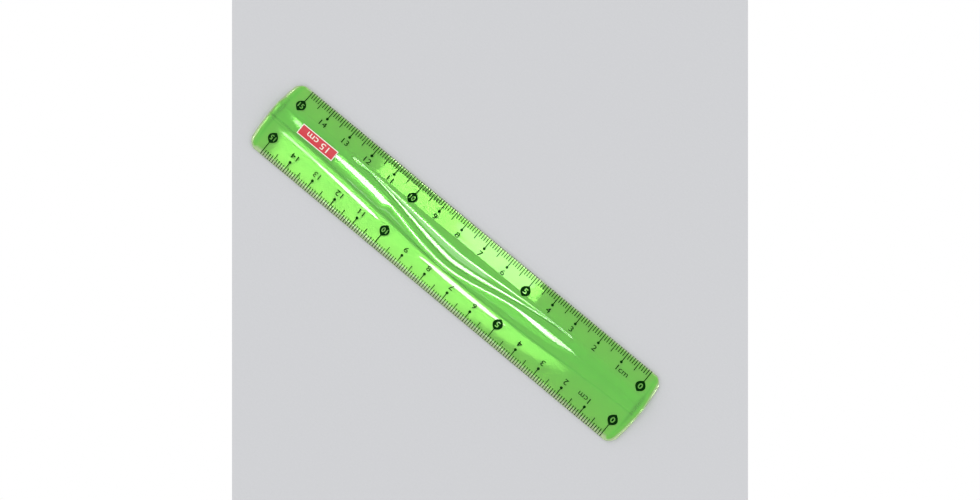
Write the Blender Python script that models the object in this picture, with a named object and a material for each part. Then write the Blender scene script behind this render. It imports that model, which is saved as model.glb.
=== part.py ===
"""Flexible ruler: one soft see-through strip with two printed scales and a printed label.

The strip bends all along its length. It is built as short sections in a row, each of which turns a
little on its neighbour about a line across the ruler, and each section carries its own print.

Frame: +X runs along the ruler towards the 0 end of the scales, +Y towards the upper scale, +Z up
from the flat underside, with the origin under the middle of the ruler.
"""

import math

import bpy

MM = 0.001

# Scale layout, the same on both edges
GRADUATION = 1.0 * MM
LINES_PER_NUMBER = 10
LINES_PER_HALF = 5
LINES_PER_DISC = 50
LARGEST_NUMBER = 15
LINE_COUNT = LARGEST_NUMBER * LINES_PER_NUMBER
SCALE_LENGTH = LINE_COUNT * GRADUATION

# Strip
END_MARGIN = 6.3 * MM
LENGTH = SCALE_LENGTH + 2 * END_MARGIN
UPPER_BAND = 8.3 * MM
RIDGE_WIDTH = 7.2 * MM
LOWER_BAND = 12.5 * MM
WIDTH = UPPER_BAND + RIDGE_WIDTH + LOWER_BAND
CORNER_RADIUS = 3.0 * MM
END_BULGE = 1.0 * MM
UPPER_EDGE_HEIGHT = 1.0 * MM
LOWER_EDGE_HEIGHT = 0.75 * MM
RIDGE_HEIGHT = 2.7 * MM
BAND_SLOPE_SHARE = 0.1
RIDGE_FALL_SHARE = 0.06

# Crease line under the ridge, which sags towards the lower scale around its own middle
CREASE_AT_ENDS = LOWER_BAND - WIDTH / 2
CREASE_SAG = 3.15 * MM
CREASE_CENTRE = 6.0 * MM
CREASE_REACH = 88.0 * MM
CREASE_FOOT = 0.7 * MM

# Leaf-shaped scoop above the ridge: two lines that sag between the same two tips. A flank rises
# from the upper band to the scoop's rim, and the scoop falls from there to the ridge's wall.
LEAF_TIP = WIDTH / 2 - UPPER_BAND
LEAF_TIP_WIDTH = 0.4 * MM
LEAF_CENTRE = -2.0 * MM
LEAF_REACH = 50.0 * MM
LEAF_UPPER_SAG = 2.4 * MM
LEAF_LOWER_SAG = 6.15 * MM
LEAF_DEPTH = 0.42 * MM
LEAF_ROUNDNESS_SHARE = 1.5
FLANK_LEAST = 0.05 * MM
SHOULDER_AT_ENDS = 2.0 * MM
SHOULDER_AT_MIDDLE = 2.4 * MM

# How far along and up its slope each rounding point of the ridge lies
SHOULDER_ROUND_SHARES = (0.8, 0.88)
FOOT_ROUND_SHARES = (0.45, 0.75)

# Sections that stand in for the bending strip
LINES_PER_SECTION = 10
LINES_BEFORE_FIRST_CUT = 5
SECTION_COUNT = LINE_COUNT // LINES_PER_SECTION + 1
ROOT_SECTION = SECTION_COUNT // 2
SECTION_GAP = 0.35 * MM
HINGE_HEIGHT = RIDGE_HEIGHT / 2
STATIONS_PER_SECTION = 3
CORNER_STATIONS = 5

# Print
INK_HEIGHT = 0.1 * MM
INK_CLEARANCE = 0.05 * MM
EDGE_LINE_INSET = 0.05 * MM
EDGE_LINE_WIDTH = 0.15 * MM
LINE_WIDTH = 0.24 * MM
SHORT_LINE = 2.3 * MM
HALF_LINE = 3.7 * MM
DOT_INSET = 4.2 * MM
DOT_RADIUS = 0.5 * MM
DOT_SIDES = 10
UPPER_DISC_TO_LEAF = 1.9 * MM
LOWER_DISC_TO_CREASE = 2.45 * MM
DISC_INSETS = {
    "upper": UPPER_BAND - UPPER_DISC_TO_LEAF,
    "lower": LOWER_BAND - CREASE_SAG - LOWER_DISC_TO_CREASE,
}
DISC_RADIUS = 1.8 * MM
DISC_TIP = 2.15 * MM
DISC_SIDES = 12

# The flank starts just past the tips of the upper discs, which lie on the band
DISC_TO_FLANK = 0.05 * MM
FLANK_FOOT = WIDTH / 2 - DISC_INSETS["upper"] - DISC_TIP - DISC_TO_FLANK

# Label, measured from the 15 line of the scales and from the line through the leaf's tips
LABEL_FROM_LAST_LINE = 5.1 * MM
LABEL_FROM_LEAF_TIP = 2.3 * MM
LABEL_LENGTH = 15.6 * MM
LABEL_WIDTH = 4.0 * MM
LABEL_CUT_INSET = 0.1 * MM

# Colours as sRGB hex, with roughness
STRIP_FINISH = ("5CC24B", 0.12)
INK_FINISH = ("14160F", 0.45)
LABEL_FINISH = ("D8303A", 0.35)


def linear(hex_colour):
    """sRGB hex to linear red, green, blue and alpha."""
    channels = [int(hex_colour[i : i + 2], 16) / 255 for i in (0, 2, 4)]
    bright = [((c + 0.055) / 1.055) ** 2.4 if c > 0.04045 else c / 12.92 for c in channels]
    return (*bright, 1.0)


def plastic(name, finish):
    """A Principled material with this colour and roughness, and no metal."""
    hex_colour, roughness = finish
    material = bpy.data.materials.new(name)
    material.use_nodes = True
    shader = material.node_tree.nodes["Principled BSDF"]
    shader.inputs["Base Color"].default_value = linear(hex_colour)
    shader.inputs["Roughness"].default_value = roughness
    shader.inputs["Metallic"].default_value = 0.0
    return material


def line_place(line):
    """X of a scale line, counted from the 0 line."""
    return SCALE_LENGTH / 2 - line * GRADUATION


def cut_place(cut):
    """X of the cut between section number cut and the next one towards the 15 end."""
    last_line = LINES_BEFORE_FIRST_CUT + (cut - 1) * LINES_PER_SECTION
    return line_place(last_line) - GRADUATION / 2


def band_height(y):
    """Height of the flat sloping scale bands at this distance from the middle line."""
    edge_height = UPPER_EDGE_HEIGHT if y > 0 else LOWER_EDGE_HEIGHT
    return edge_height + BAND_SLOPE_SHARE * (WIDTH / 2 - abs(y))


def ridge_height(y):
    """Height of the ridge's top beyond the leaf's tips, where it falls evenly from its crest."""
    crest = LEAF_TIP - LEAF_TIP_WIDTH / 2 - SHOULDER_AT_ENDS
    return RIDGE_HEIGHT - RIDGE_FALL_SHARE * max(crest - y, 0)


def crease_line(x):
    """Y of the crease: a raised cosine that dies out towards the ends."""
    reach = min(abs(x - CREASE_CENTRE) / CREASE_REACH, 1)
    return CREASE_AT_ENDS - CREASE_SAG * (1 + math.cos(math.pi * reach)) / 2


def leaf_fullness(x):
    """1 across the middle of the leaf, falling smoothly to 0 at its tips."""
    reach = min(abs(x - LEAF_CENTRE) / LEAF_REACH, 1)
    return (1 - reach**LEAF_ROUNDNESS_SHARE) ** 2


def top_profile(x, half_width):
    """(y, z) points across the top at one place along the ruler, from the upper edge to the lower."""
    full = leaf_fullness(x)
    leaf_upper = LEAF_TIP + LEAF_TIP_WIDTH / 2 - LEAF_UPPER_SAG * full
    leaf_lower = LEAF_TIP - LEAF_TIP_WIDTH / 2 - LEAF_LOWER_SAG * full
    flank_foot = max(FLANK_FOOT, leaf_upper + FLANK_LEAST)
    foot_height = band_height(flank_foot)
    rim = foot_height + (RIDGE_HEIGHT - foot_height) * full
    floor = rim - LEAF_DEPTH * full
    shoulder = SHOULDER_AT_ENDS + (SHOULDER_AT_MIDDLE - SHOULDER_AT_ENDS) * full
    crest = leaf_lower - shoulder
    along, up = SHOULDER_ROUND_SHARES
    shoulder_round = (leaf_lower - along * shoulder, floor + up * (RIDGE_HEIGHT - floor))
    crease = crease_line(x)
    ridge_end = crease + CREASE_FOOT
    ridge_end_height = RIDGE_HEIGHT - RIDGE_FALL_SHARE * (crest - ridge_end)
    step = ridge_end_height - band_height(crease)
    along, up = FOOT_ROUND_SHARES
    foot_round = (crease + along * CREASE_FOOT, band_height(crease) + up * step)
    return [
        (half_width, band_height(half_width)),
        (flank_foot, foot_height),
        (leaf_upper, rim),
        (leaf_lower, floor),
        shoulder_round,
        (crest, RIDGE_HEIGHT),
        (ridge_end, ridge_end_height),
        foot_round,
        (crease, band_height(crease)),
        (-half_width, band_height(-half_width)),
    ]


def straight_stations(start, end):
    """(x, half width, bulge share) from one cut to the next."""
    shares = [i / (STATIONS_PER_SECTION - 1) for i in range(STATIONS_PER_SECTION)]
    return [(start + (end - start) * share, WIDTH / 2, 0) for share in shares]


def end_stations(cut, way):
    """(x, half width, bulge share) from a cut to the rounded end; way is 1 at the 0 end, else -1."""
    corner_start = LENGTH / 2 - END_BULGE - CORNER_RADIUS
    stations = [(cut, WIDTH / 2, 0)]
    for i in range(CORNER_STATIONS):
        angle = math.pi / 2 * i / (CORNER_STATIONS - 1)
        x = corner_start + CORNER_RADIUS * math.sin(angle)
        half_width = WIDTH / 2 - CORNER_RADIUS * (1 - math.cos(angle))
        progress = (x - abs(cut)) / (corner_start + CORNER_RADIUS - abs(cut))
        stations.append((way * x, half_width, way * progress**2))
    return stations


def new_object(name, vertices, faces, origin, material):
    """An object whose mesh is given in ruler coordinates and whose origin is at this point."""
    local = [[c - o for c, o in zip(vertex, origin)] for vertex in vertices]
    mesh = bpy.data.meshes.new(name)
    mesh.from_pydata(local, [], faces)
    mesh.validate()
    mesh.materials.append(material)
    item = bpy.data.objects.new(name, mesh)
    bpy.context.scene.collection.objects.link(item)
    return item


def loft(name, stations, origin, material):
    """A closed strip section through the profile at each station, over a flat underside."""
    vertices = []
    for x, half_width, bulge in stations:
        profile = top_profile(x, half_width)
        for level in (1, 0):
            for y, z in profile:
                reach = 1 - (y / half_width) ** 2
                vertices.append((x + END_BULGE * bulge * reach, y, z * level))
    columns = len(profile)
    row = 2 * columns
    faces = []
    for i in range(len(stations) - 1):
        for j in range(columns - 1):
            top = i * row + j
            under = top + columns
            faces.append((top, top + 1, top + row + 1, top + row))
            faces.append((under, under + row, under + row + 1, under + 1))
        upper, lower = i * row, i * row + columns - 1
        faces.append((upper, upper + row, upper + row + columns, upper + columns))
        faces.append((lower, lower + columns, lower + row + columns, lower + row))
    last = (len(stations) - 1) * row
    for j in range(columns - 1):
        faces.append((j, j + columns, j + columns + 1, j + 1))
        faces.append((last + j, last + j + 1, last + j + columns + 1, last + j + columns))
    if stations[-1][0] < stations[0][0]:
        faces = [face[::-1] for face in faces]
    return new_object(name, vertices, faces, origin, material)


def sheet(name, outline, height_under, origin, material):
    """A thin closed film with this (x, y) outline, anticlockwise, lying over height_under(y)."""
    count = len(outline)
    under = [(x, y, height_under(y) + INK_CLEARANCE) for x, y in outline]
    over = [(x, y, z + INK_HEIGHT) for x, y, z in under]
    faces = [tuple(range(count))[::-1], tuple(range(count, 2 * count))]
    for i in range(count):
        following = (i + 1) % count
        faces.append((i, following, following + count, i + count))
    return new_object(name, under + over, faces, origin, material)


def plain_mark(length):
    """One side of a plain line, as (distance from its middle, inset from the edge)."""
    return [(LINE_WIDTH / 2, length)]


def dot_mark():
    """One side of a number line, which ends in a dot."""
    neck = math.asin(LINE_WIDTH / 2 / DOT_RADIUS)
    side = []
    for i in range(DOT_SIDES // 2):
        angle = neck + (math.pi - neck) * i / (DOT_SIDES // 2)
        side.append((DOT_RADIUS * math.sin(angle), DOT_INSET - DOT_RADIUS * math.cos(angle)))
    return side + [(0, DOT_INSET + DOT_RADIUS)]


def disc_mark(inset):
    """One side of a line that ends in a disc with a point above and below."""
    touch = math.acos(DISC_RADIUS / DISC_TIP)
    flank = (DISC_TIP - DISC_RADIUS * math.cos(touch)) / (DISC_RADIUS * math.sin(touch))
    side = [(LINE_WIDTH / 2, inset - DISC_TIP + flank * LINE_WIDTH / 2)]
    for i in range(DISC_SIDES // 2 + 1):
        angle = touch + (math.pi - 2 * touch) * i / (DISC_SIDES // 2)
        side.append((DISC_RADIUS * math.sin(angle), inset - DISC_RADIUS * math.cos(angle)))
    return side + [(0, inset + DISC_TIP)]


def mark_side(line, disc_inset):
    """One side of this scale line, from where it leaves the edge line to its far end."""
    if line % LINES_PER_DISC == 0:
        return disc_mark(disc_inset)
    if line % LINES_PER_NUMBER == 0:
        return dot_mark()
    if line % LINES_PER_HALF == 0:
        return plain_mark(HALF_LINE)
    return plain_mark(SHORT_LINE)


def comb_outline(lines, edge):
    """Outline of the print on one section: its scale lines, joined by a thin line along the edge."""
    root = EDGE_LINE_INSET + EDGE_LINE_WIDTH
    ends = (line_place(lines[0]) + LINE_WIDTH / 2, line_place(lines[-1]) - LINE_WIDTH / 2)
    outline = [(ends[0], EDGE_LINE_INSET), (ends[1], EDGE_LINE_INSET)]
    for line in reversed(lines):
        x = line_place(line)
        side = mark_side(line, DISC_INSETS[edge])
        if line != lines[-1]:
            outline.append((x - LINE_WIDTH / 2, root))
        outline += [(x - out, inset) for out, inset in side]
        outline += [(x + out, inset) for out, inset in reversed(side) if out > 0]
        if line != lines[0]:
            outline.append((x + LINE_WIDTH / 2, root))
    if edge == "upper":
        return [(x, WIDTH / 2 - inset) for x, inset in outline]
    return [(x, inset - WIDTH / 2) for x, inset in reversed(outline)]


def section_span(number):
    """(x towards the 0 end, x towards the 15 end, scale lines) of a section, numbered from 1."""
    first = 0 if number == 1 else cut_place(number - 1) - SECTION_GAP / 2
    last = 0 if number == SECTION_COUNT else cut_place(number) + SECTION_GAP / 2
    after = LINES_BEFORE_FIRST_CUT + (number - 1) * LINES_PER_SECTION
    lines = range(max(after - LINES_PER_SECTION + 1, 0), min(after, LINE_COUNT) + 1)
    return first, last, list(lines)


def section_origin(number):
    """A point on the axis that this section turns about; the root section's is under its middle."""
    if number < ROOT_SECTION:
        return (cut_place(number), 0, HINGE_HEIGHT)
    if number > ROOT_SECTION:
        return (cut_place(number - 1), 0, HINGE_HEIGHT)
    return ((cut_place(number - 1) + cut_place(number)) / 2, 0, 0)


def make_strip(number, material):
    """One section of the strip, lofted between its two cuts or out to its rounded end."""
    first, last, _ = section_span(number)
    if number == 1:
        stations = end_stations(last, 1)
    elif number == SECTION_COUNT:
        stations = end_stations(first, -1)
    else:
        stations = straight_stations(first, last)
    return loft(f"strip_{number:02d}", stations, section_origin(number), material)


def make_scale(number, edge, material):
    """The printed lines of one scale on one section."""
    lines = section_span(number)[2]
    outline = comb_outline(lines, edge)
    name = f"{edge}_scale_{number:02d}"
    return sheet(name, outline, band_height, section_origin(number), material)


def make_labels(material):
    """The label, in parts that meet over each cut it crosses: [(section number, object)]."""
    start = line_place(LINE_COUNT) + LABEL_FROM_LAST_LINE
    end = start + LABEL_LENGTH
    top = LEAF_TIP - LABEL_FROM_LEAF_TIP
    bottom = top - LABEL_WIDTH
    labels = []
    for number in range(2, SECTION_COUNT):
        first, last, _ = section_span(number)
        low = max(start, last + LABEL_CUT_INSET)
        high = min(end, first - LABEL_CUT_INSET)
        if low < high:
            outline = [(low, bottom), (high, bottom), (high, top), (low, top)]
            origin = section_origin(number)
            label = sheet(f"label_{number:02d}", outline, ridge_height, origin, material)
            labels.append((number, label))
    return labels


def place(sections, prints):
    """Hangs each section on its neighbour nearer the root, and each print on its section."""
    for number, item in sections.items():
        origin = section_origin(number)
        inner = number + 1 if number < ROOT_SECTION else number - 1
        base = (0, 0, 0) if number == ROOT_SECTION else section_origin(inner)
        if number != ROOT_SECTION:
            item.parent = sections[inner]
        item.location = [c - b for c, b in zip(origin, base)]
    for number, item in prints:
        item.parent = sections[number]


def main():
    for item in list(bpy.data.objects):
        bpy.data.objects.remove(item, do_unlink=True)
    strip = plastic("soft_pvc_green", STRIP_FINISH)
    ink = plastic("black_print", INK_FINISH)
    red = plastic("red_print", LABEL_FINISH)
    sections = {n: make_strip(n, strip) for n in range(1, SECTION_COUNT + 1)}
    prints = [(n, make_scale(n, edge, ink)) for n in sections for edge in DISC_INSETS]
    prints += make_labels(red)
    place(sections, prints)


main()
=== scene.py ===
"""Flexible ruler: a see-through green soft PVC strip with two printed scales and a small label.

The strip is dressed in fifteen runs, one over each bend of the frame, each from the middle of one
section to the middle of the next.
"""
import math

import bpy
from mathutils import Matrix, Vector


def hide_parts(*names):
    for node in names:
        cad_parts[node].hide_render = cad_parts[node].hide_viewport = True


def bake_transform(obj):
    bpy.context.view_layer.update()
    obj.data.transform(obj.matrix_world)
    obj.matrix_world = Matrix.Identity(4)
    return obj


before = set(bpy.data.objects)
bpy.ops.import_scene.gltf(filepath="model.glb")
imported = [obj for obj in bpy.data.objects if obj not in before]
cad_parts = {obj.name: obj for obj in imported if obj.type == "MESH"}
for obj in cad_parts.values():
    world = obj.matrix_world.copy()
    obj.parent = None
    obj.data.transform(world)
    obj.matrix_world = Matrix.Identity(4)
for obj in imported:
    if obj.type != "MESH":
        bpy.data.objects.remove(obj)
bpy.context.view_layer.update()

bl_info = {
    "name": "Flexible ruler",
    "version": (1, 0, 0),
    "blender": (4, 5, 0),
    "location": "View3D > Sidebar > Ruler",
    "description": "Builds a bendable see-through ruler with its printed scales, label and stage",
    "category": "Add Mesh",
}

MM = 0.001
# Points nearer to each other than this, in metres, count as one
TOUCH = 1e-7

# Layout along the ruler, in millimetres. The 0 line is at +75 and the 15 line at -75.
SCALE_CM = 15
ZERO_LINE = 75.0
SECTION = 10.0
FIRST_BEND = 69.5
BEND_COUNT = 15
HALF_WIDTH = 14.0
ZERO_END = 80.8
FAR_END = 81.9
END_BULGE = 1.2
CORNER = 3.6


# ---------------------------------------------------------------- the relief of the strip

# Heights of the upper edge, of the lower edge and of the grip ridge along its crest
EDGE_HEIGHT = 1.0
LOWER_EDGE_HEIGHT = 0.5
CREST_HEIGHT = 2.7
# The leaf-shaped scoop: its middle and half its length along the ruler, and its least width
LEAF_MIDDLE = -1.0
LEAF_HALF_LENGTH = 50.5
LEAF_LEAST_GAP = 0.15


def clamp(value, low, high):
    return max(low, min(high, value))


def ease(t):
    """0 to 1 with a soft start and stop."""
    t = clamp(t, 0.0, 1.0)
    return t * t * (3.0 - 2.0 * t)


def mix(a, b, t):
    return a + (b - a) * t


def crease_line(x):
    """The valley between the grip ridge and the lower band."""
    return -1.5 - 3.15 * (1.0 + math.cos(math.pi * min(abs(x - 6.0) / 88.0, 1.0))) / 2.0


def leaf_fullness(x):
    """0 at the tips of the leaf-shaped scoop, 1 at its middle."""
    return (1.0 - min(abs(x - LEAF_MIDDLE) / LEAF_HALF_LENGTH, 1.0) ** 1.5) ** 2


def leaf_upper(x):
    """The scoop's upper rim."""
    return 5.75 - 2.35 * leaf_fullness(x) ** 1.15


def leaf_lower(x):
    """The scoop's lower rim, a little lower at the tips, so that they end blunt."""
    full = leaf_fullness(x)
    tip = mix(0.7, 0.3, ease((x + 2.0) / 10.0))
    return 5.60 - 6.15 * full - tip * (1.0 - ease(full / 0.08))


def leaf_gap(x):
    """How wide the scoop is."""
    return max(leaf_upper(x) - leaf_lower(x), LEAF_LEAST_GAP)


def leaf_sole(x):
    """How wide the turn is from the scoop's floor to the wall of the ridge."""
    return min(0.25 + 0.95 * ease(leaf_fullness(x)), 0.35 * leaf_gap(x))


def crest_line(x):
    """The highest line of the grip ridge, which dips under the scoop."""
    if x < -1.5:
        return 3.65 - 6.75 * math.exp(-((x + 1.5) / 27.5) ** 2)
    return 2.5 - 5.6 * math.exp(-((x + 1.5) / 22.0) ** 2) - 0.7 * ease((x - 44.0) / 14.0)


# Slopes across the strip: how far the surface rises for each millimetre towards the upper edge.
# From SHINE_LOW to SHINE_HIGH it mirrors the long soft box over the ridge.
FLANK_SLOPE = -0.33
SHINE_LOW = 0.035
SHINE_HIGH = 0.085
LOWER_BAND_SLOPE = 0.092
LOWER_EDGE_SLOPE = 0.40
SOLVE_WALL = "wall"
SOLVE_DOME = "dome"


def slope_points(x):
    """Places across the strip at x with the surface's slope there, from the upper to the lower edge.

    The slope runs evenly from point to point. The wall up to the crest and the dome down to the
    crease are left to solve, so that the crest keeps its height and both edges theirs.
    """
    full = leaf_fullness(x)
    upper, lower, crest, crease = leaf_upper(x), leaf_lower(x), crest_line(x), crease_line(x)
    # brim of the upper band, steeper along the middle of the ruler
    brim = mix(-0.086, -0.110, ease((x + 20.0) / 8.0) * (1.0 - ease((x - 24.0) / 8.0)))
    # scoop: how far it has opened, its turns, and the shine under its upper rim
    opened = ease(full / 0.004)
    gap, sole = leaf_gap(x), leaf_sole(x)
    rim = min(0.22, gap * 0.25)
    glint = min(0.30 + 0.25 * ease(full / 0.8), mix(0.40, 0.18, ease(full / 0.15)) * gap)
    # grip ridge: the shine along its top, broad at the 15 end, and its shoulder below that
    room = crest - crease
    flat = ease((-28.5 - x) / 5.0)
    hump = ease((x - 22.0) / 18.0) * (1.0 - ease((x - 42.0) / 10.0))
    top = min(mix(0.50, 3.3, flat) + 1.5 * hump, 0.45 * room)
    far = ease((x - 22.0) / 30.0)
    right = ease((x - 10.0) / 10.0)
    shoulder = min(2.2, 0.38 * room) * mix(1.0, 0.35, far)
    # lower band: the shine beside the crease, where it is wide, and how it ends towards 0
    trough = 1.0 - ease((x + 31.0) / 4.0) + ease((x + 12.0) / 4.0) * (1.0 - ease((x - 25.0) / 5.0))
    wide = 1.0 - ease((x + 38.0) / 11.0) + ease((x + 11.0) / 14.0) * (1.0 - ease((x - 16.0) / 14.0))
    shine = crease - mix(1.95, 1.6, ease((x + 12.0) / 8.0))
    half_shine = 0.95 * mix(0.45, 1.0, wide)
    tail = 0.009 * ease((x - 30.0) / 14.0)
    return [
        # upper band
        (HALF_WIDTH, brim),
        (12.1, brim),
        (11.6, -0.108),
        (6.6, -0.098),
        # flank
        (6.25, FLANK_SLOPE),
        (upper + rim, FLANK_SLOPE),
        # scoop
        (upper - rim * 0.2, mix(FLANK_SLOPE, SHINE_LOW, opened)),
        (upper - rim * 0.2 - glint, mix(FLANK_SLOPE, SHINE_HIGH, opened)),
        (upper - rim * 0.2 - glint - 0.04 * gap, mix(FLANK_SLOPE, 0.172, opened)),
        (lower + sole * 0.6 + 0.25 * gap, mix(FLANK_SLOPE, 0.178, opened)),
        (lower + sole * 0.6, mix(FLANK_SLOPE, 0.090, opened)),
        (lower - sole * 0.4, mix(FLANK_SLOPE, 0.030, opened)),
        # wall up to the crest
        (lower - sole * 0.4 - 0.35, SOLVE_WALL),
        (crest + 0.40, SOLVE_WALL),
        # grip ridge, and its dome down to the crease
        (crest - 0.10, SHINE_LOW),
        (crest - 0.10 - top, SHINE_HIGH),
        (crest - 0.40 - top, mix(0.140, 0.100, right)),
        (crest - 0.40 - top - shoulder, mix(0.155, mix(0.112, 0.150, far), right)),
        (crease + 0.08, SOLVE_DOME),
        # lower band
        (crease - 0.08, LOWER_BAND_SLOPE - tail),
        (shine + half_shine, LOWER_BAND_SLOPE - 0.65 * tail),
        (shine, mix(LOWER_BAND_SLOPE, 0.050, trough) - 0.45 * tail),
        (shine - half_shine, LOWER_BAND_SLOPE - 0.3 * tail),
        (crease - 3.0, 0.094),
        (-10.0, 0.1155),
        (-12.8, 0.130),
        # lower edge
        (-13.1, LOWER_EDGE_SLOPE),
        (-HALF_WIDTH, LOWER_EDGE_SLOPE),
    ]


def run_heights(places, slopes, first, last, height):
    """Heights from one point to another, adding up the slopes between."""
    heights = {first: height}
    step = 1 if last > first else -1
    for i in range(first, last, step):
        rise = (slopes[i] + slopes[i + step]) / 2.0 * (places[i + step] - places[i])
        heights[i + step] = heights[i] + rise
    return heights


SECTIONS = {}


def cross_section(x):
    """Places, slopes and heights across the strip at x, kept for the next call."""
    key = round(x, 4)
    if key in SECTIONS:
        return SECTIONS[key]
    points = slope_points(x)
    places = [place for place, _ in points]
    last = len(points) - 1
    wall_at = next(i for i, (_, slope) in enumerate(points) if slope == SOLVE_WALL)
    dome_at = next(i for i, (_, slope) in enumerate(points) if slope == SOLVE_DOME)
    # the wall is two points, and the crest comes next
    crest_at = wall_at + 2

    def with_slopes(wall, dome):
        solved = {SOLVE_WALL: wall, SOLVE_DOME: dome}
        return [solved.get(slope, slope) for _, slope in points]

    # a height changes evenly with a slope, so two tries are enough to find the slope that fits
    low = run_heights(places, with_slopes(0.0, 0.0), 0, crest_at, EDGE_HEIGHT)[crest_at]
    high = run_heights(places, with_slopes(-1.0, 0.0), 0, crest_at, EDGE_HEIGHT)[crest_at]
    wall = -(CREST_HEIGHT - low) / (high - low)
    foot = dome_at + 1
    target = run_heights(places, with_slopes(wall, 0.0), last, foot, LOWER_EDGE_HEIGHT)[foot]
    flat = run_heights(places, with_slopes(wall, 0.0), crest_at, foot, CREST_HEIGHT)[foot]
    tilted = run_heights(places, with_slopes(wall, 1.0), crest_at, foot, CREST_HEIGHT)[foot]
    dome = (target - flat) / (tilted - flat)
    slopes = with_slopes(wall, dome)
    heights = run_heights(places, slopes, 0, last, EDGE_HEIGHT)
    SECTIONS[key] = (places, slopes, [heights[i] for i in range(last + 1)])
    return SECTIONS[key]


def surface_height(x, y):
    """Height of the strip's top, in millimetres, before its edges are rounded."""
    places, slopes, heights = cross_section(x)
    y = clamp(y, places[-1], places[0])
    i = next(i for i in range(len(places) - 1) if y >= places[i + 1])
    t = (y - places[i]) / (places[i + 1] - places[i])
    slope = mix(slopes[i], slopes[i + 1], t)
    return heights[i] + (slopes[i] + slope) / 2.0 * (y - places[i])


def deep_lines(x):
    """Painted shade: thin dark lines painted into the tint where the relief turns sharply.

    Each is a line's place, its half width at half its strength, and the depth that it adds.
    """
    lower, crease, sole = leaf_lower(x), crease_line(x), leaf_sole(x)
    opened = ease(leaf_fullness(x) / 0.05)
    paired = ease((-5.0 - x) / 25.0)
    fade = 1.0 - 0.5 * ease((x - 30.0) / 40.0)
    return [
        (lower - sole * 0.4 - 0.30, 0.22, 2.4 * opened),
        (lower + sole * 0.6 + 0.20, 0.16, 1.0 * opened),
        (crease + mix(0.20, 0.55, paired), 0.20, 2.2 * fade),
        (crease - 0.70, 0.16, 1.0 * paired),
    ]


def tint_depth(x, y, thickness):
    """How deep the tint is at a point, as millimetres of PVC, with the painted shade lines added."""
    added = sum(depth * max(0.0, 1.0 - abs(y - place) / (2.0 * width))
                for place, width, depth in deep_lines(x))
    return thickness + added


# ---------------------------------------------------------------- small helpers

def linear(hex_colour):
    """A #rrggbb colour as linear RGBA."""
    out = []
    for i in (1, 3, 5):
        c = int(hex_colour[i:i + 2], 16) / 255.0
        out.append(c / 12.92 if c <= 0.04045 else ((c + 0.055) / 1.055) ** 2.4)
    return (*out, 1.0)


def scaled(colour, share):
    """A linear colour made darker or lighter, kept within range."""
    return tuple(min(c * share, 1.0) for c in colour[:3]) + (1.0,)


def node(tree, kind, settings=None, inputs=None, links=None):
    """One shader node, with its settings, its socket values and its incoming links."""
    made = tree.nodes.new(kind)
    for name, value in (settings or {}).items():
        setattr(made, name, value)
    for name, value in (inputs or {}).items():
        made.inputs[name].default_value = value
    for name, socket in (links or {}).items():
        tree.links.new(socket, made.inputs[name])
    return made


def new_material(name):
    material = bpy.data.materials.new(name)
    material.use_nodes = True
    material.node_tree.nodes.clear()
    return material, material.node_tree


def deselect_all():
    if bpy.context.object and bpy.context.object.mode != "OBJECT":
        bpy.ops.object.mode_set(mode="OBJECT")
    bpy.ops.object.select_all(action="DESELECT")


def make_active(obj):
    deselect_all()
    obj.select_set(True)
    bpy.context.view_layer.objects.active = obj


def join(objects, name):
    """Joins objects into the first and names it."""
    deselect_all()
    for obj in objects:
        obj.select_set(True)
    bpy.context.view_layer.objects.active = objects[0]
    bpy.ops.object.join()
    objects[0].name = name
    objects[0].data.name = name
    return objects[0]


def apply_place(obj):
    make_active(obj)
    bpy.ops.object.transform_apply(location=True, rotation=True, scale=True)


def face_outwards(obj):
    """Turns every face of a closed shape outwards."""
    make_active(obj)
    bpy.ops.object.mode_set(mode="EDIT")
    bpy.ops.mesh.select_all(action="SELECT")
    bpy.ops.mesh.normals_make_consistent(inside=False)
    bpy.ops.object.mode_set(mode="OBJECT")


def cut_across(obj, places):
    """Cuts a flat print at places across the ruler, so that it can bend over the relief."""
    make_active(obj)
    bpy.ops.object.mode_set(mode="EDIT")
    for y in places:
        bpy.ops.mesh.select_all(action="SELECT")
        bpy.ops.mesh.bisect(plane_co=(0, y * MM, 0), plane_no=(0, 1, 0))
    bpy.ops.object.mode_set(mode="OBJECT")


def bend_at(k):
    """Place of bend k along the ruler, in millimetres; bend 1 is the one nearest the 0 line."""
    return FIRST_BEND - SECTION * (k - 1)


def run_ends(k):
    """Where run k starts and stops along the ruler: the middles of section k and of the next."""
    return bend_at(k) + SECTION / 2, bend_at(k) - SECTION / 2


def ride_bend(piece):
    """Bakes the piece's place into its mesh."""
    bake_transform(piece)


def split_at_sections(whole, name, bends):
    """Cuts a finished print at the section middles and returns {bend: piece}."""
    pieces = {}
    for k in bends:
        high, low = run_ends(k)
        piece = whole.copy()
        piece.data = whole.data.copy()
        piece.name = piece.data.name = "%s_%02d" % (name, k)
        bpy.context.collection.objects.link(piece)
        make_active(piece)
        bpy.ops.object.mode_set(mode="EDIT")
        if k != 1:
            bpy.ops.mesh.select_all(action="SELECT")
            bpy.ops.mesh.bisect(plane_co=(high * MM, 0, 0), plane_no=(1, 0, 0), use_fill=True,
                                clear_outer=True, threshold=TOUCH)
        if k != BEND_COUNT:
            bpy.ops.mesh.select_all(action="SELECT")
            bpy.ops.mesh.bisect(plane_co=(low * MM, 0, 0), plane_no=(1, 0, 0), use_fill=True,
                                clear_inner=True, threshold=TOUCH)
        bpy.ops.object.mode_set(mode="OBJECT")
        if piece.data.vertices:
            pieces[k] = piece
        else:
            bpy.data.objects.remove(piece)
    bpy.data.objects.remove(whole)
    return pieces


# ---------------------------------------------------------------- settings

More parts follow.
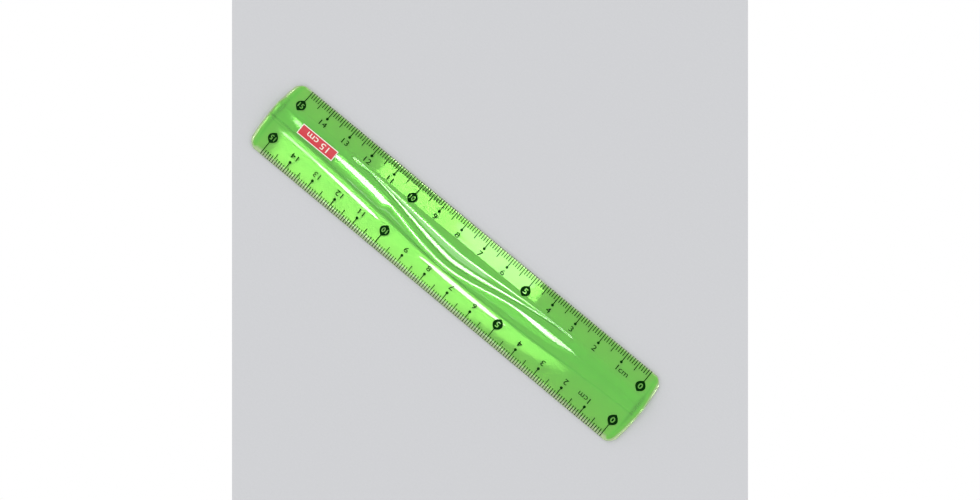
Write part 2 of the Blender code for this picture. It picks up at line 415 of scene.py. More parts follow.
class RulerStripSettings(bpy.types.PropertyGroup):
    thin_colour: bpy.props.StringProperty(
        name="Thin colour", description="Tint where the strip is thin, as hex", default="#9AEC65")
    thick_colour: bpy.props.StringProperty(
        name="Thick colour", description="Tint where the strip is thick, as hex", default="#8AF060")
    # painted light: the palest tint, for the paler rims painted along the outline
    edge_colour: bpy.props.StringProperty(
        name="Edge colour", description="Tint along the thin edges, as hex", default="#DEF4C0")
    # painted shade: the deepest tint also colours the dark lines painted along the relief's sharp
    # turns and inside the ends
    deep_colour: bpy.props.StringProperty(
        name="Deep colour", description="Tint along the sharp turns of the relief, as hex",
        default="#5FAE44")
    roughness: bpy.props.FloatProperty(
        name="Roughness", description="Blur of the gloss", default=0.03, min=0.0, max=1.0,
        subtype="FACTOR")
    clearness: bpy.props.FloatProperty(
        name="Clearness", description="Share of the light that passes straight through",
        default=0.62, min=0.0, max=1.0, subtype="FACTOR")
    run_step: bpy.props.FloatProperty(
        name="Step along", description="Spacing of the mesh along the ruler", default=0.0005,
        min=0.0001, unit="LENGTH")


class RulerPrintSettings(bpy.types.PropertyGroup):
    ink_colour: bpy.props.StringProperty(
        name="Ink", description="Colour of the scales, as hex", default="#042D03")
    line_width: bpy.props.FloatProperty(
        name="Line width", description="Width of a graduation line", default=0.00029,
        min=0.00005, unit="LENGTH")
    number_height: bpy.props.FloatProperty(
        name="Number height", description="Height of the numbers", default=0.00190,
        min=0.0005, unit="LENGTH")
    film: bpy.props.FloatProperty(
        name="Ink film", description="Thickness of the printed film", default=0.00003,
        min=0.00001, unit="LENGTH")


class RulerLabelSettings(bpy.types.PropertyGroup):
    field_colour: bpy.props.StringProperty(
        name="Field", description="Colour of the label's field, as hex", default="#D02A38")
    border_colour: bpy.props.StringProperty(
        name="Border colour", description="Colour of the label's border and words, as hex",
        default="#F3E9DC")
    border: bpy.props.FloatProperty(
        name="Border width", description="Width of the label's border", default=0.0003, min=0.00005,
        unit="LENGTH")


class RulerStageSettings(bpy.types.PropertyGroup):
    ground_colour: bpy.props.StringProperty(
        name="Ground", description="Colour of the sheet under the ruler, as hex", default="#D0D1D4")
    fill: bpy.props.FloatProperty(
        name="Fill light", description="Strength of the light from all round", default=1.0,
        min=0.0)
    gloss: bpy.props.FloatProperty(
        name="Soft boxes", description="Brightness of the soft boxes seen in the gloss",
        default=1.0, min=0.0)


# ---------------------------------------------------------------- materials

# The way through the PVC, in millimetres, at which its tint is deepest, and the tint's stops on it
DEEPEST = 5.4
# the deep stop is reached mostly where painted shade deepens the tint, the edge stop where painted
# light pales it
EDGE_STOP, THIN_STOP, THICK_STOP, DEEP_STOP = 0.08, 0.19, 0.46, 1.0
PVC_IOR = 1.53
COAT_IOR = 1.8


def soft_pvc(settings, name, coat):
    """Soft PVC, injection moulded in a polished mould: clear, deeply tinted and glossy.

    Its tint deepens where it is thick, and lamps show white on its top and green in its underside.
    Part of the light scatters inside, so it stays green where it is seen from low down.
    The underside mirrors more than PVC in air alone does, matched to the object: that is its coat.
    """
    material, tree = new_material(name)
    # the depth of tint carries painted shade along the relief's sharp turns and inside the ends, and
    # painted light at the outline
    thick = node(tree, "ShaderNodeAttribute", {"attribute_name": "tint_depth"})
    depth = node(tree, "ShaderNodeMapRange", None, {"From Max": DEEPEST},
                 {"Value": thick.outputs["Fac"]})
    tint = node(tree, "ShaderNodeValToRGB", None, None, {"Fac": depth.outputs["Result"]})
    ramp = tint.color_ramp
    first, last = ramp.elements
    first.position, first.color = EDGE_STOP, linear(settings.edge_colour)
    last.position, last.color = DEEP_STOP, linear(settings.deep_colour)
    for stop, colour in ((THIN_STOP, settings.thin_colour), (THICK_STOP, settings.thick_colour)):
        ramp.elements.new(stop).color = linear(colour)
    place = node(tree, "ShaderNodeTexCoord")
    # moulding ripple, about 6 mm from crest to crest, as flow marks in a thin moulding
    flow = node(tree, "ShaderNodeTexNoise", None,
                {"Scale": 160.0, "Detail": 2.0, "Roughness": 0.4},
                {"Vector": place.outputs["Object"]})
    ripple = node(tree, "ShaderNodeBump", None, {"Strength": 0.03, "Distance": 0.00004},
                  {"Height": flow.outputs["Fac"]})
    body = node(tree, "ShaderNodeBsdfPrincipled", None,
                {"Roughness": settings.roughness, "IOR": PVC_IOR,
                 "Transmission Weight": settings.clearness, "Coat Weight": coat,
                 "Coat IOR": COAT_IOR, "Coat Roughness": settings.roughness},
                {"Base Color": tint.outputs["Color"], "Normal": ripple.outputs["Normal"]})
    node(tree, "ShaderNodeOutputMaterial", None, None, {"Surface": body.outputs["BSDF"]})
    return material


def unbroken_pvc():
    """Faces inside the strip where two runs meet: the PVC is unbroken there, so nothing shows."""
    material, tree = new_material("soft_pvc_unbroken_inside")
    clear = node(tree, "ShaderNodeBsdfTransparent", None, {"Color": (1.0, 1.0, 1.0, 1.0)})
    node(tree, "ShaderNodeOutputMaterial", None, None, {"Surface": clear.outputs["BSDF"]})
    return material


def printing_ink(name, hex_colour, roughness, relief, shine):
    """Screen printing ink on PVC: a thin even film, a little less glossy than the moulding.

    Its film is slightly grainy, so its gloss breaks up and its colour varies a few per cent.
    """
    material, tree = new_material(name)
    place = node(tree, "ShaderNodeTexCoord")
    # mesh grain of the screen, 0.12 mm a thread, drawn at 0.2 mm so that it can show
    grain = node(tree, "ShaderNodeTexNoise", None, {"Scale": 5000.0, "Detail": 2.0},
                 {"Vector": place.outputs["Object"]})
    base = linear(hex_colour)
    shade = node(tree, "ShaderNodeMix", {"data_type": "RGBA"}, None,
                 {"Factor": grain.outputs["Fac"]})
    shade.inputs["A"].default_value = scaled(base, 0.85)
    shade.inputs["B"].default_value = scaled(base, 1.15)
    rough = node(tree, "ShaderNodeMapRange", None,
                 {"To Min": roughness - 0.05, "To Max": roughness + 0.05},
                 {"Value": grain.outputs["Fac"]})
    bump = node(tree, "ShaderNodeBump", None, {"Strength": relief, "Distance": 0.00001},
                {"Height": grain.outputs["Fac"]})
    film = node(tree, "ShaderNodeBsdfPrincipled", None, {"IOR": 1.5, "Specular IOR Level": shine},
                {"Base Color": shade.outputs["Result"], "Roughness": rough.outputs["Result"],
                 "Normal": bump.outputs["Normal"]})
    node(tree, "ShaderNodeOutputMaterial", None, None, {"Surface": film.outputs["BSDF"]})
    return material


def felt_paper(settings):
    """Pale grey felt-marked paper: matt, with a fine even tooth that shows as a faint mottle."""
    material, tree = new_material("paper_pale_grey")
    place = node(tree, "ShaderNodeTexCoord")
    # tooth of the paper, 0.7 mm from bump to bump
    tooth = node(tree, "ShaderNodeTexNoise", None,
                 {"Scale": 1400.0, "Detail": 3.0, "Roughness": 0.55},
                 {"Vector": place.outputs["Object"]})
    base = linear(settings.ground_colour)
    shade = node(tree, "ShaderNodeMix", {"data_type": "RGBA"}, None,
                 {"Factor": tooth.outputs["Fac"]})
    shade.inputs["A"].default_value = scaled(base, 0.97)
    shade.inputs["B"].default_value = scaled(base, 1.03)
    bump = node(tree, "ShaderNodeBump", None, {"Strength": 0.25, "Distance": 0.00008},
                {"Height": tooth.outputs["Fac"]})
    sheet = node(tree, "ShaderNodeBsdfPrincipled", None, {"Roughness": 0.9, "IOR": 1.45},
                 {"Base Color": shade.outputs["Result"], "Normal": bump.outputs["Normal"]})
    node(tree, "ShaderNodeOutputMaterial", None, None, {"Surface": sheet.outputs["BSDF"]})
    return material


# ---------------------------------------------------------------- the strip

# How many rows each stretch between two slope points gets
ROWS = [3, 2, 5, 3, 4, 4, 4, 3, 5, 4, 4, 4, 4, 5, 6, 2, 4, 4, 5, 3, 2, 4, 4, 5, 4, 3, 3]
# Radii of the rounded top edges, and where rows and columns stand, in from the sides and ends
SIDE_ROUNDING = 0.25
END_ROUNDING = 0.5
LEAST_ROUNDING = 0.2
SQUARE_FOOT = 0.45
SIDE_STEPS = [0.0, 0.03, 0.09, 0.17, 0.27]
END_STEPS = [0.0, 0.04, 0.12, 0.25, 0.42, 0.62, 0.85, 1.1, 1.5, 2.0, 2.5, 3.0]
# Where the bulge of the ends starts along the ruler, and where the rows draw in for the corners
BULGE_START = 74.5
DRAW_IN_START = 7.0
DRAW_IN_SPAN = 6.0
# Painted light at the outline: share of the tint that is left at the sides and ends, and how far in
# the painted paleness reaches
SIDE_TINT = 0.25
END_TINT = 0.10
UPPER_PALE_REACH = 0.7
LOWER_PALE_REACH = 2.2
END_PALE_REACH = 1.9
# Painted shade: a soft darker line painted just inside each end: its place, half its width and the
# depth that it adds
END_SHADE_LINE = 2.4
END_SHADE_LINE_HALF_WIDTH = 1.3
END_SHADE_LINE_DEPTH = 1.5
SMOOTH_ANGLE = 50.0
# Material slots of a run
CLEAR, UNBROKEN, UNDERSIDE = range(3)


def row_places(x):
    """Where the rows of the mesh cross the strip at x: close together where the relief turns."""
    places = cross_section(x)[0]
    rows = [HALF_WIDTH - step for step in SIDE_STEPS]
    first = HALF_WIDTH - SIDE_STEPS[-1]
    for i, count in enumerate(ROWS):
        a = first if i == 0 else places[i]
        b = -first if i == len(ROWS) - 1 else places[i + 1]
        rows += [mix(a, b, (n + 1) / count) for n in range(count)]
    rows += [-(HALF_WIDTH - step) for step in reversed(SIDE_STEPS[:-1])]
    return rows


def column_places(k, step):
    """Where the columns of run k stand along the ruler; the end runs go on to the ruler's ends."""
    high, low = run_ends(k)
    count = round((high - low) / step)
    columns = [high - (high - low) * n / count for n in range(count + 1)]
    if k == 1:
        tail = [ZERO_END - s for s in END_STEPS]
        span = tail[-1] - high
        extra = round(span / step)
        between = [tail[-1] - span * n / extra for n in range(1, extra)]
        columns = tail + between + columns
    if k == BEND_COUNT:
        tail = [-(FAR_END - s) for s in reversed(END_STEPS)]
        span = low - tail[0]
        extra = round(span / step)
        between = [low - span * n / extra for n in range(1, extra)]
        columns = columns + between + tail
    return columns


def end_reach(s):
    """How far the strip reaches along the ruler on the side of s."""
    return ZERO_END if s > 0 else FAR_END


def outline_half_width(s):
    """Half the strip's width at s, where its corners are rounded off."""
    from_end = end_reach(s) - abs(s)
    if from_end >= CORNER:
        return HALF_WIDTH
    return HALF_WIDTH - CORNER + math.sqrt(max(CORNER ** 2 - (CORNER - from_end) ** 2, 0.0))


def rounded_drop(distance, radius):
    """How far a rounded edge lies below the surface, at a distance from the outline."""
    if distance >= radius:
        return 0.0
    return radius - math.sqrt(max(radius ** 2 - (radius - distance) ** 2, 0.0))


def paleness(from_side, from_end, y):
    """Painted light: share of the tint that shows near the outline, paler where light comes in
    through the edges.
    """
    reach = LOWER_PALE_REACH if y < 0.0 else UPPER_PALE_REACH
    side = mix(SIDE_TINT, 1.0, ease(from_side / reach))
    return side * mix(END_TINT, 1.0, ease(from_end / END_PALE_REACH))


def strip_point(s, row):
    """x, y, top height and depth of tint of a mesh point, from its column and its row."""
    y = row
    half = outline_half_width(s)
    if half < HALF_WIDTH:
        inward = (HALF_WIDTH - half) * ease((abs(y) - DRAW_IN_START) / DRAW_IN_SPAN)
        y = math.copysign(max(abs(y) - inward, 0.0), y)
    curve = ease((abs(s) - BULGE_START) / (end_reach(s) - BULGE_START))
    x = s - math.copysign(END_BULGE * (y / HALF_WIDTH) ** 2 * curve, s)
    height = surface_height(x, y)
    from_side = half - abs(y)
    from_end = end_reach(s) - abs(s)
    drop_side = rounded_drop(from_side, SIDE_ROUNDING)
    # where the strip is thin its end is rounded less, so that some of it stays square
    radius = min(END_ROUNDING, max(height - SQUARE_FOOT, LEAST_ROUNDING))
    drop_end = rounded_drop(from_end, radius)
    # painted shade along the relief's sharp turns, and painted light paling the tint at the outline
    depth = tint_depth(x, y, height) * paleness(from_side, from_end, y)
    # painted shade: a soft darker line just inside each end
    line = max(0.0, 1.0 - abs(from_end - END_SHADE_LINE) / END_SHADE_LINE_HALF_WIDTH)
    depth += END_SHADE_LINE_DEPTH * line * ease(from_side / 2.0)
    return x, y, height - max(drop_side, drop_end), depth


def make_strip_run(k, step, materials):
    """One run of the strip: a grid laid over the relief and thickened down to a flat underside."""
    columns = column_places(k, step / MM)
    row_count = len(row_places(bend_at(k)))
    deselect_all()
    bpy.ops.mesh.primitive_grid_add(x_subdivisions=len(columns) - 1,
                                    y_subdivisions=row_count - 1, size=2.0)
    run = bpy.context.object
    run.name = run.data.name = "ruler_strip_%02d" % k
    grid = [[None] * row_count for _ in columns]
    for v in run.data.vertices:
        i = round((1.0 - v.co.x) / 2.0 * (len(columns) - 1))
        j = round((1.0 - v.co.y) / 2.0 * (row_count - 1))
        grid[i][j] = v.index
    depths = [0.0] * len(run.data.vertices)
    for i, s in enumerate(columns):
        for j, row in enumerate(row_places(s)):
            x, y, z, depth = strip_point(s, row)
            run.data.vertices[grid[i][j]].co = (x * MM, y * MM, z * MM)
            depths[grid[i][j]] = depth
    layer = run.data.attributes.new("tint_depth", "FLOAT", "POINT")
    layer.data.foreach_set("value", depths)
    # down past the underside, and then flat on it
    make_active(run)
    bpy.ops.object.mode_set(mode="EDIT")
    bpy.ops.mesh.select_all(action="SELECT")
    bpy.ops.mesh.extrude_region_move(TRANSFORM_OT_translate={"value": (0, 0, -0.01)})
    bpy.ops.object.mode_set(mode="OBJECT")
    for v in run.data.vertices:
        if v.select:
            v.co.z = 0.0
    face_outwards(run)
    for material in materials:
        run.data.materials.append(material)
    high, low = run_ends(k)
    joins = ([] if k == 1 else [high * MM]) + ([] if k == BEND_COUNT else [low * MM])
    for face in run.data.polygons:
        face.material_index = UNDERSIDE if face.normal.z < -0.9 else CLEAR
        for plane in joins:
            if all(abs(run.data.vertices[i].co.x - plane) < TOUCH for i in face.vertices):
                face.material_index = UNBROKEN
    make_active(run)
    bpy.ops.object.shade_smooth_by_angle(angle=math.radians(SMOOTH_ANGLE))
    return run


class RULER_OT_make_strip(bpy.types.Operator):
    """Lays the see-through strip over the frame, one run over each bend"""
    bl_idname = "ruler.make_strip"
    bl_label = "Make strip"

    def execute(self, context):
        settings = context.scene.ruler_strip
        materials = [soft_pvc(settings, "soft_pvc_clear_green", 0.0), unbroken_pvc(),
                     soft_pvc(settings, "soft_pvc_clear_green_underside", 1.0)]
        for k in range(1, BEND_COUNT + 1):
            run = make_strip_run(k, settings.run_step, materials)
            nodes = ["strip_%02d" % k] + (["strip_%02d" % (k + 1)] if k == BEND_COUNT else [])
            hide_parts(*nodes)
            ride_bend(run)
        return {"FINISHED"}


# ---------------------------------------------------------------- the scales

# Lines: where they start, in from the edge, how long they are, and how much wider the long ones are
LINE_START = 0.02
SHORT_LINE = 2.3
HALF_LINE = 3.7
LONG_LINE_WIDER = 1.1
# The dots at the whole centimetres' lines, in from the edge
DOT_INSET = 4.2
DOT_RADIUS = 0.5
# The pointed discs: their middles, half widths, tips and the handles of the curve at the tips
UPPER_DISC = 7.6
LOWER_DISC = -7.1
DISC_HALF_WIDTH = 1.8
DISC_TIP = 2.15
DISC_HANDLE = (0.62, 1.72)
DISC_OVERLAP = 0.15
# Numbers: their middles, how far they are stretched sideways and how much bolder they are made
UPPER_NUMBER = 7.58
LOWER_NUMBER = -7.42
NUMBER_STRETCH = 1.28
NUMBER_BOLDER = 0.015
DISC_NUMBER_BOLDER = 0.06
# Numbers on the discs with one digit and with two: their share of the height, and their stretch
ONE_DIGIT = (1.0, 1.2)
TWO_DIGITS = (0.9, 1.05)
# The unit by the 1: its share of the height, its stretch, and its place from the number
UNIT_SIZE = 0.68
UNIT_STRETCH = 1.2
UNIT_OFFSET = (2.75, -0.30)
# How far the print stands off the strip, and where it is cut across, as the relief turns there
CLEARANCE = 0.012
UPPER_CUTS = (9.0, 8.3, 7.6, 7.0, 6.6, 6.42, 6.25, 5.85)
LOWER_CUTS = (-5.3, -5.8, -6.3, -6.9, -7.6, -8.4, -12.8, -12.95, -13.1)


def flat_box(x, y0, y1, width, height, cuts):
    """A thin printed bar along y, cut across so that it can follow the relief."""
    bpy.ops.mesh.primitive_cube_add(size=1.0)
    bar = bpy.context.object
    bar.scale = (width * MM, abs(y1 - y0) * MM, height * MM)
    bar.location = (x * MM, (y0 + y1) / 2 * MM, height / 2 * MM)
    apply_place(bar)
    cut_across(bar, [y0 + (y1 - y0) * (n + 1) / (cuts + 1) for n in range(cuts)])
    return bar


def copy_of(obj, offset):
    """A copy with its own mesh, moved along the ruler, in millimetres."""
    twin = obj.copy()
    twin.data = obj.data.copy()
    twin.data.transform(Matrix.Translation(Vector((offset * MM, 0, 0))))
    bpy.context.collection.objects.link(twin)
    return twin


def text_outline(words, size, stretch):
    """Words as a curve, centred on the origin, stretched sideways; sizes in millimetres."""
    deselect_all()
    bpy.ops.object.text_add()
    text = bpy.context.object
    text.data.body = words
    text.data.size = size * MM
    text.data.align_x = "CENTER"
    text.data.resolution_u = 3
    bpy.context.view_layer.update()
    bpy.ops.object.convert(target="CURVE")
    curve = bpy.context.object
    places = [p.co for s in curve.data.splines for p in s.bezier_points]
    low, high = min(p.y for p in places), max(p.y for p in places)
    left, right = min(p.x for p in places), max(p.x for p in places)
    shift = Matrix.Translation(Vector((-(left + right) / 2, -(low + high) / 2, 0)))
    grow = size * MM / (high - low)
    curve.data.transform(Matrix.Diagonal((grow * stretch, grow, 1, 1)) @ shift)
    return curve


def thicken_strokes(curve, extra):
    """Moves the outlines of flat letters outwards, in millimetres, so that their strokes widen."""
    outlines = []
    for spline in curve.data.splines:
        places = [point.co.copy() for point in spline.bezier_points]
        area = sum(a.x * b.y - b.x * a.y for a, b in zip(places, places[1:] + places[:1]))
        outlines.append((spline, places, area))
    turn = math.copysign(extra * MM, max(outlines, key=lambda outline: abs(outline[2]))[2])
    for spline, places, _ in outlines:
        for i, point in enumerate(spline.bezier_points):
            along = (places[(i + 1) % len(places)] - places[i - 1]).normalized()
            out = Vector((along.y, -along.x, 0)) * turn
            point.handle_left_type = point.handle_right_type = "FREE"
            left, right = point.handle_left.copy(), point.handle_right.copy()
            point.co += out
            point.handle_left, point.handle_right = left + out, right + out


def curve_to_film(curve, film, x, y, turn):
    """Gives a flat curve its thickness, makes it a mesh and sets it in place."""
    curve.data.dimensions = "2D"
    curve.data.fill_mode = "BOTH"
    curve.data.extrude = film / 2
    make_active(curve)
    bpy.ops.object.convert(target="MESH")
    mesh = bpy.context.object
    mesh.location = (x * MM, y * MM, film / 2)
    mesh.rotation_euler = (0, 0, math.pi if turn else 0)
    apply_place(mesh)
    bpy.ops.object.mode_set(mode="EDIT")
    bpy.ops.mesh.select_all(action="SELECT")
    bpy.ops.mesh.remove_doubles(threshold=TOUCH)
    bpy.ops.object.mode_set(mode="OBJECT")
    face_outwards(mesh)
    return mesh


def disc_outline():
    """The pointed disc behind 0, 5, 10 and 15, as a closed curve round the origin."""
    deselect_all()
    bpy.ops.curve.primitive_bezier_circle_add(radius=DISC_HALF_WIDTH * MM)
    curve = bpy.context.object
    spline = curve.data.splines[0]
    for point in spline.bezier_points:
        if abs(point.co.y) > abs(point.co.x):
            up = math.copysign(1.0, point.co.y)
            point.handle_left_type = point.handle_right_type = "FREE"
            point.co.y = up * DISC_TIP * MM
            side = math.copysign(1.0, point.handle_left.x)
            reach, height = DISC_HANDLE
            point.handle_left = (side * reach * MM, up * height * MM, 0)
            point.handle_right = (-side * reach * MM, up * height * MM, 0)
    curve.data.resolution_u = 8
    return curve


def drape(obj):
    """Lays a flat print on the strip's relief."""
    for v in obj.data.vertices:
        v.co.z += (surface_height(v.co.x / MM, v.co.y / MM) + CLEARANCE) * MM


def make_scale(name, side, settings):
    """One printed scale: its lines, dots, numbers, and the discs with knocked-out numbers."""
    film = settings.film
    width = settings.line_width / MM
    edge = side * (HALF_WIDTH - LINE_START)
    inner = side * HALF_WIDTH
    turn = side < 0
    number_y = UPPER_NUMBER if side > 0 else LOWER_NUMBER
    disc_y = UPPER_DISC if side > 0 else LOWER_DISC
    deselect_all()
    thick = film / MM
    wider = width * LONG_LINE_WIDER
    short = flat_box(0, edge, inner - side * SHORT_LINE, width, thick, 2)
    half = flat_box(0, edge, inner - side * HALF_LINE, width, thick, 4)
    whole = flat_box(0, edge, inner - side * DOT_INSET, wider, thick, 4)
    disc_line = flat_box(0, edge, disc_y + side * (DISC_TIP - DISC_OVERLAP), wider, thick, 4)
    deselect_all()
    bpy.ops.mesh.primitive_cylinder_add(vertices=20, radius=DOT_RADIUS * MM, depth=film,
                                        location=(0, (inner - side * DOT_INSET) * MM, film / 2))
    dot = bpy.context.object
    apply_place(dot)
    parts = []
    for n in range(SCALE_CM * 10 + 1):
        x = ZERO_LINE - n
        if n % 50 == 0:
            parts.append(copy_of(disc_line, x))
        elif n % 10 == 0:
            parts += [copy_of(whole, x), copy_of(dot, x)]
        elif n % 5 == 0:
            parts.append(copy_of(half, x))
        else:
            parts.append(copy_of(short, x))
    for part in (short, half, whole, disc_line, dot):
        bpy.data.objects.remove(part)
    height = settings.number_height / MM
    for cm in range(SCALE_CM + 1):
        x = ZERO_LINE - 10 * cm
        if cm % 5 == 0:
            share, stretch = ONE_DIGIT if cm < 10 else TWO_DIGITS
            digits = text_outline(str(cm), height * share, stretch)
            thicken_strokes(digits, DISC_NUMBER_BOLDER)
            knocked = join([disc_outline(), digits], "disc")
            parts.append(curve_to_film(knocked, film, x, disc_y, turn))
        else:
            digits = text_outline(str(cm), height, NUMBER_STRETCH)
            thicken_strokes(digits, NUMBER_BOLDER)
            parts.append(curve_to_film(digits, film, x, number_y, turn))
        if cm == 1:
            unit = text_outline("cm", height * UNIT_SIZE, UNIT_STRETCH)
            unit_x, unit_y = x + side * UNIT_OFFSET[0], number_y + side * UNIT_OFFSET[1]
            parts.append(curve_to_film(unit, film, unit_x, unit_y, turn))
    scale = join(parts, name)
    cut_across(scale, UPPER_CUTS if side > 0 else LOWER_CUTS)
    drape(scale)
    return scale


class RULER_OT_make_scales(bpy.types.Operator):
    """Prints the upper and the lower scale on the strip"""
    bl_idname = "ruler.make_scales"
    bl_label = "Make scales"

    def execute(self, context):
        settings = context.scene.ruler_print
        ink = printing_ink("screen_ink_black", settings.ink_colour, 0.45, 0.15, 0.02)
        for name, side in (("upper", 1.0), ("lower", -1.0)):
            scale = make_scale(name, side, settings)
            scale.data.materials.clear()
            scale.data.materials.append(ink)
            pieces = split_at_sections(scale, name + "_print", range(1, BEND_COUNT + 1))
            if len(pieces) != BEND_COUNT:
                raise RuntimeError("a run of the %s scale has no print" % name)
            for k, piece in pieces.items():
                nodes = ["%s_scale_%02d" % (name, k)]
                if k == BEND_COUNT:
                    nodes.append("%s_scale_%02d" % (name, k + 1))
                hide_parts(*nodes)
                ride_bend(piece)
        return {"FINISHED"}


# ---------------------------------------------------------------- the label

LABEL_LEFT, LABEL_RIGHT = -69.9, -54.3
LABEL_LOW, LABEL_HIGH = -0.6, 3.4
# Films of ink, one on the other: how thick each is and how high it starts
BORDER_FILM, BORDER_LIFT = 0.02, 0.0
FIELD_FILM, FIELD_LIFT = 0.015, 0.022
WORD_FILM, WORD_LIFT = 0.01, 0.04
WORD_HEIGHT = 2.2
WORD_STRETCH = 1.3
LABEL_STRIPS = 8
# Size of the squares that the label is made of, along and across the ruler
LABEL_GRID = (0.5, 0.25)


def label_sheet(x0, x1, y0, y1, film, lift):
    """A thin rectangle of print, fine enough to follow the ridge."""
    deselect_all()
    columns, rows = round((x1 - x0) / LABEL_GRID[0]), round((y1 - y0) / LABEL_GRID[1])
    bpy.ops.mesh.primitive_grid_add(x_subdivisions=columns, y_subdivisions=rows, size=1.0)
    sheet = bpy.context.object
    sheet.scale = ((x1 - x0) * MM, (y1 - y0) * MM, 1.0)
    sheet.location = ((x0 + x1) / 2 * MM, (y0 + y1) / 2 * MM, lift * MM)
    apply_place(sheet)
    bpy.ops.object.mode_set(mode="EDIT")
    bpy.ops.mesh.select_all(action="SELECT")
    bpy.ops.mesh.extrude_region_move(TRANSFORM_OT_translate={"value": (0, 0, film * MM)})
    bpy.ops.object.mode_set(mode="OBJECT")
    face_outwards(sheet)
    return sheet


class RULER_OT_make_label(bpy.types.Operator):
    """Prints the small red label with its pale border near the 15 end"""
    bl_idname = "ruler.make_label"
    bl_label = "Make label"

    def execute(self, context):
        settings = context.scene.ruler_label
        border = settings.border / MM
        pale = printing_ink("screen_ink_cream", settings.border_colour, 0.30, 0.1, 0.5)
        red = printing_ink("screen_ink_red", settings.field_colour, 0.35, 0.1, 0.3)
        base = label_sheet(LABEL_LEFT, LABEL_RIGHT, LABEL_LOW, LABEL_HIGH, BORDER_FILM,
                           BORDER_LIFT)
        base.data.materials.append(pale)
        field = label_sheet(LABEL_LEFT + border, LABEL_RIGHT - border, LABEL_LOW + border,
                            LABEL_HIGH - border, FIELD_FILM, FIELD_LIFT)
        field.data.materials.append(red)
        middle = (LABEL_LEFT + LABEL_RIGHT) / 2, (LABEL_LOW + LABEL_HIGH) / 2
        words = curve_to_film(text_outline("15 cm", WORD_HEIGHT, WORD_STRETCH), WORD_FILM * MM,
                              *middle, True)
        words.data.transform(Matrix.Translation(Vector((0, 0, WORD_LIFT * MM))))
        words.data.materials.clear()
        words.data.materials.append(pale)
        label = join([base, field, words], "label")
        cut_across(label, [mix(LABEL_LOW, LABEL_HIGH, n / LABEL_STRIPS)
                           for n in range(1, LABEL_STRIPS)])
        drape(label)
        pieces = split_at_sections(label, "label_print", (13, 14, 15))
        for k, piece in pieces.items():
            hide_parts("label_14", "label_15")
            ride_bend(piece)
        return {"FINISHED"}


# ---------------------------------------------------------------- the stage

# The camera, a little over half a metre above the ruler: its place in millimetres, the directions
# to its right and to its back, and its lens on a 36 mm sensor
CAMERA_PLACE = (50.9, -44.6, 534.1)
CAMERA_RIGHT = (0.7685, 0.6398, 0.0028)
CAMERA_BACK = (0.0820, -0.1030, 0.9913)
LENS = 58.19
SENSOR_WIDTH = 36.0
# The sheet's half sizes as the camera sees them, in pixels of a picture 980 wide, with the focal
# length in those pixels too, and the level of the sheet under the ruler in millimetres
FOCAL = 1584.0
SHEET_HALF_WIDTH = 258.0
SHEET_HALF_HEIGHT = 330.0
SHEET_LEVEL = -0.05
# How high the soft boxes hang, and how much higher each one is than the one before
LAMP_HEIGHT = 700.0
LAMP_STEP = 1.0
# The soft boxes show only in the strip's gloss. Name, shape, place, size and turn in millimetres and
# degrees, brightness, and whether it shows on the strip's top or in its underside.
SOFT_BOXES = (
    ("soft_box_ridge", "ELLIPSE", -83, -26, 232, 76, 0, 20.0, "top"),
    ("soft_box_tips", "RECTANGLE", 27, -26, 36, 56, 0, 13.0, "top"),
    ("soft_box_end", "RECTANGLE", -214, -25, 44, 38, 0, 8.0, "top"),
    ("soft_box_low", "RECTANGLE", -90, -178, 200, 30, 0, 3.4, "top"),
    ("soft_box_upper_veil", "ELLIPSE", -42, 238, 92, 34, 0, 3.4, "top"),
    ("soft_box_upper_band", "RECTANGLE", -82, -16, 156, 60, 0, 19.0, "underside"),
    ("soft_box_lower_band", "RECTANGLE", -95.5, 93.3, 293, 88, -8.6, 12.2, "underside"),
    ("soft_box_ridge_glow", "RECTANGLE", -87, 153, 287, 30, -4.2, 3.8, "underside"),
)


def soft_box(name, shape, x, y, z, width, depth, turn, radiance, shows):
    """A soft box facing straight down, at a brightness that doesn't change with its size."""
    lamp = bpy.data.lights.new(name, "AREA")
    lamp.shape = shape
    lamp.size, lamp.size_y = width * MM, depth * MM
    area = lamp.size * lamp.size_y * (math.pi / 4 if shape == "ELLIPSE" else 1.0)
    lamp.energy = radiance * math.pi * area
    obj = bpy.data.objects.new(name, lamp)
    obj.location = (x * MM, y * MM, z * MM)
    obj.rotation_euler = (0, 0, math.radians(turn))
    obj.visible_camera = obj.visible_diffuse = False
    obj.visible_glossy = shows == "top"
    obj.visible_transmission = shows == "underside"
    bpy.context.collection.objects.link(obj)


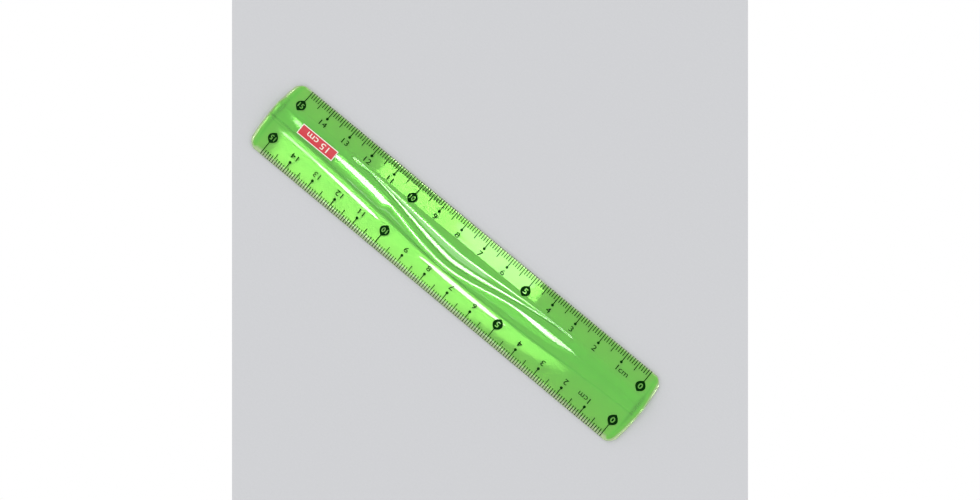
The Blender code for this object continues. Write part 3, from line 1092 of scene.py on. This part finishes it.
class RULER_OT_make_stage(bpy.types.Operator):
    """Sets the sheet under the ruler, the soft boxes, the fill light and the camera"""
    bl_idname = "ruler.make_stage"
    bl_label = "Make stage"

    def execute(self, context):
        settings = context.scene.ruler_stage
        scene = context.scene
        scene.view_settings.view_transform = "Standard"

        right = Vector(CAMERA_RIGHT).normalized()
        back = Vector(CAMERA_BACK)
        back = (back - right * back.dot(right)).normalized()
        up = back.cross(right)
        camera = bpy.data.objects.new("camera", bpy.data.cameras.new("camera"))
        camera.data.lens = LENS
        camera.data.sensor_width = SENSOR_WIDTH
        camera.data.clip_start = 0.01
        turn = Matrix((right, up, back)).transposed().to_4x4()
        camera.matrix_world = Matrix.Translation(Vector(CAMERA_PLACE) * MM) @ turn
        context.collection.objects.link(camera)
        scene.camera = camera

        # a sheet as wide as the picture's grey part, laid square to the camera
        deselect_all()
        bpy.ops.mesh.primitive_plane_add(size=1.0)
        sheet = context.object
        sheet.name = sheet.data.name = "ground_sheet"
        for v in sheet.data.vertices:
            # the ray through a corner of the picture's grey part, met by the plane of the sheet
            ray = right * (math.copysign(SHEET_HALF_WIDTH, v.co.x) / FOCAL) - back
            ray += up * (math.copysign(SHEET_HALF_HEIGHT, v.co.y) / FOCAL)
            place = Vector(CAMERA_PLACE)
            v.co = (place + ray * ((SHEET_LEVEL - place.z) / ray.z)) * MM
        sheet.data.materials.append(felt_paper(settings))

        # each box hangs a little higher than the last, because two in one plane hide each other
        for n, (name, shape, x, y, width, depth, turn, radiance, shows) in enumerate(SOFT_BOXES):
            soft_box(name, shape, x, y, LAMP_HEIGHT + LAMP_STEP * n, width, depth, turn,
                     radiance * settings.gloss, shows)

        world = bpy.data.worlds.new("studio")
        scene.world = world
        world.use_nodes = True
        tree = world.node_tree
        tree.nodes.clear()
        fill = node(tree, "ShaderNodeBackground", None,
                    {"Color": (1, 1, 1, 1), "Strength": settings.fill})
        node(tree, "ShaderNodeOutputWorld", None, None, {"Surface": fill.outputs[0]})
        return {"FINISHED"}


# ---------------------------------------------------------------- panel and registration

class RULER_PT_panel(bpy.types.Panel):
    """Lists what builds the ruler"""
    bl_idname = "RULER_PT_panel"
    bl_label = "Flexible ruler"
    bl_space_type = "VIEW_3D"
    bl_region_type = "UI"
    bl_category = "Ruler"

    def draw(self, context):
        layout = self.layout
        scene = context.scene
        for title, settings, operator in (
                ("Strip", scene.ruler_strip, RULER_OT_make_strip),
                ("Scales", scene.ruler_print, RULER_OT_make_scales),
                ("Label", scene.ruler_label, RULER_OT_make_label),
                ("Stage", scene.ruler_stage, RULER_OT_make_stage)):
            box = layout.box()
            box.label(text=title)
            for name in settings.__annotations__:
                box.prop(settings, name)
            box.operator(operator.bl_idname)


CLASSES = (
    RulerStripSettings, RulerPrintSettings, RulerLabelSettings, RulerStageSettings,
    RULER_OT_make_strip, RULER_OT_make_scales, RULER_OT_make_label, RULER_OT_make_stage,
    RULER_PT_panel,
)


def register():
    for cls in CLASSES:
        bpy.utils.register_class(cls)
    bpy.types.Scene.ruler_strip = bpy.props.PointerProperty(type=RulerStripSettings)
    bpy.types.Scene.ruler_print = bpy.props.PointerProperty(type=RulerPrintSettings)
    bpy.types.Scene.ruler_label = bpy.props.PointerProperty(type=RulerLabelSettings)
    bpy.types.Scene.ruler_stage = bpy.props.PointerProperty(type=RulerStageSettings)


def unregister():
    del bpy.types.Scene.ruler_strip
    del bpy.types.Scene.ruler_print
    del bpy.types.Scene.ruler_label
    del bpy.types.Scene.ruler_stage
    for cls in reversed(CLASSES):
        bpy.utils.unregister_class(cls)


def main():
    register()
    bpy.ops.ruler.make_strip()
    bpy.ops.ruler.make_scales()
    bpy.ops.ruler.make_label()
    bpy.ops.ruler.make_stage()
    deselect_all()


if __name__ == "__main__":
    main()
